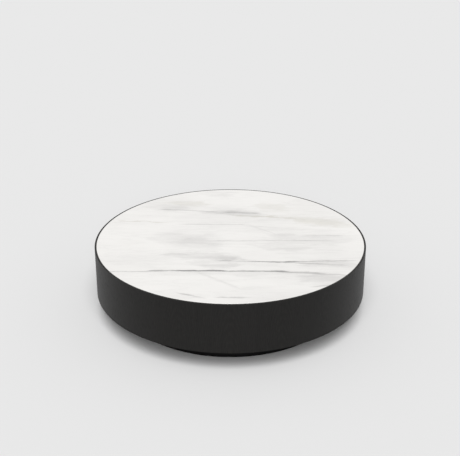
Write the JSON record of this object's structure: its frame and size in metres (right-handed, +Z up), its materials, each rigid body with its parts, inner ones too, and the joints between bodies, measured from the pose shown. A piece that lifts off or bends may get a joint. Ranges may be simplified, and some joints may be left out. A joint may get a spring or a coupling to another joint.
{
  "type": "round cocktail table",
  "caption": "Low round table: a pale veined stone slab lies flush in a dark oak-veneered drum that floats on a recessed plinth with levelling glides.",
  "frame": {"origin": "on the floor, below the middle of the round top", "axes": "+Z up through the middle of the top; the front faces -Y, and the shell's seams are at -X and +X"},
  "size_m": [1.1, 1.1, 0.29],
  "materials": {
    "marble": "polished",
    "oak_veneer": "satin",
    "black_lacquer": "satin",
    "birch_ply": "matte",
    "pine": "matte",
    "bumper": "matte",
    "zinc_steel": "satin",
    "nylon": "matte"
  },
  "bodies": {
    "table": {"marble_top": "marble", "oak_veneer_front": "oak_veneer", "oak_veneer_back": "oak_veneer", "rim_lipping": "oak_veneer", "bottom_lipping": "oak_veneer", "plinth_side_front": "black_lacquer", "plinth_side_back": "black_lacquer", "plinth_base_plate": "black_lacquer", "bottom_panel": "black_lacquer", "top_deck": "birch_ply", "rib_front": "birch_ply", "rib_back": "birch_ply", "rib_left": "birch_ply", "rib_right": "birch_ply", "side_shell_front": "birch_ply", "side_shell_back": "birch_ply", "plinth_top_plate": "birch_ply", "seam_batten_left": "pine", "seam_batten_right": "pine", "plinth_post_front_left": "pine", "plinth_post_front_right": "pine", "plinth_post_back_right": "pine", "plinth_post_back_left": "pine", "slab_bumpers": "bumper", "deck_screws": "zinc_steel", "bottom_panel_screws": "zinc_steel", "plate_screws": "zinc_steel", "base_plate_screws": "zinc_steel", "plinth_bolts": "zinc_steel", "bolt_washers": "zinc_steel", "bolt_tee_nuts": "zinc_steel", "glide_tee_nuts": "zinc_steel"},
    "pad_front_left": {"glide_pad_front_left": "nylon"},
    "stem_front_left": {"glide_stem_front_left": "zinc_steel"},
    "pad_front_right": {"glide_pad_front_right": "nylon"},
    "stem_front_right": {"glide_stem_front_right": "zinc_steel"},
    "pad_back_right": {"glide_pad_back_right": "nylon"},
    "stem_back_right": {"glide_stem_back_right": "zinc_steel"},
    "pad_back_left": {"glide_pad_back_left": "nylon"},
    "stem_back_left": {"glide_stem_back_left": "zinc_steel"}
  },
  "joints": [
    {"name": "pad_travel_front_left", "type": "slide", "parent": "table", "child": "pad_front_left", "axis": [0, 0, -1], "range_m": [0, 0.01]},
    {"name": "stem_turn_front_left", "type": "hinge", "parent": "pad_front_left", "child": "stem_front_left", "pos_m": [-0.24749, -0.24749, 0.005], "axis": [0, 0, -1], "range_deg": [0, 2401]},
    {"name": "pad_travel_front_right", "type": "slide", "parent": "table", "child": "pad_front_right", "axis": [0, 0, -1], "range_m": [0, 0.01]},
    {"name": "stem_turn_front_right", "type": "hinge", "parent": "pad_front_right", "child": "stem_front_right", "pos_m": [0.24749, -0.24749, 0.005], "axis": [0, 0, -1], "range_deg": [0, 2401]},
    {"name": "pad_travel_back_right", "type": "slide", "parent": "table", "child": "pad_back_right", "axis": [0, 0, -1], "range_m": [0, 0.01]},
    {"name": "stem_turn_back_right", "type": "hinge", "parent": "pad_back_right", "child": "stem_back_right", "pos_m": [0.24749, 0.24749, 0.005], "axis": [0, 0, -1], "range_deg": [0, 2401]},
    {"name": "pad_travel_back_left", "type": "slide", "parent": "table", "child": "pad_back_left", "axis": [0, 0, -1], "range_m": [0, 0.01]},
    {"name": "stem_turn_back_left", "type": "hinge", "parent": "pad_back_left", "child": "stem_back_left", "pos_m": [-0.24749, 0.24749, 0.005], "axis": [0, 0, -1], "range_deg": [0, 2401]}
  ],
  "couplings": [
    {"joint": "stem_turn_front_left", "follows": "pad_travel_front_left", "rad_per_m": 4188.8},
    {"joint": "stem_turn_front_right", "follows": "pad_travel_front_right", "rad_per_m": 4188.8},
    {"joint": "stem_turn_back_right", "follows": "pad_travel_back_right", "rad_per_m": 4188.8},
    {"joint": "stem_turn_back_left", "follows": "pad_travel_back_left", "rad_per_m": 4188.8}
  ]
}
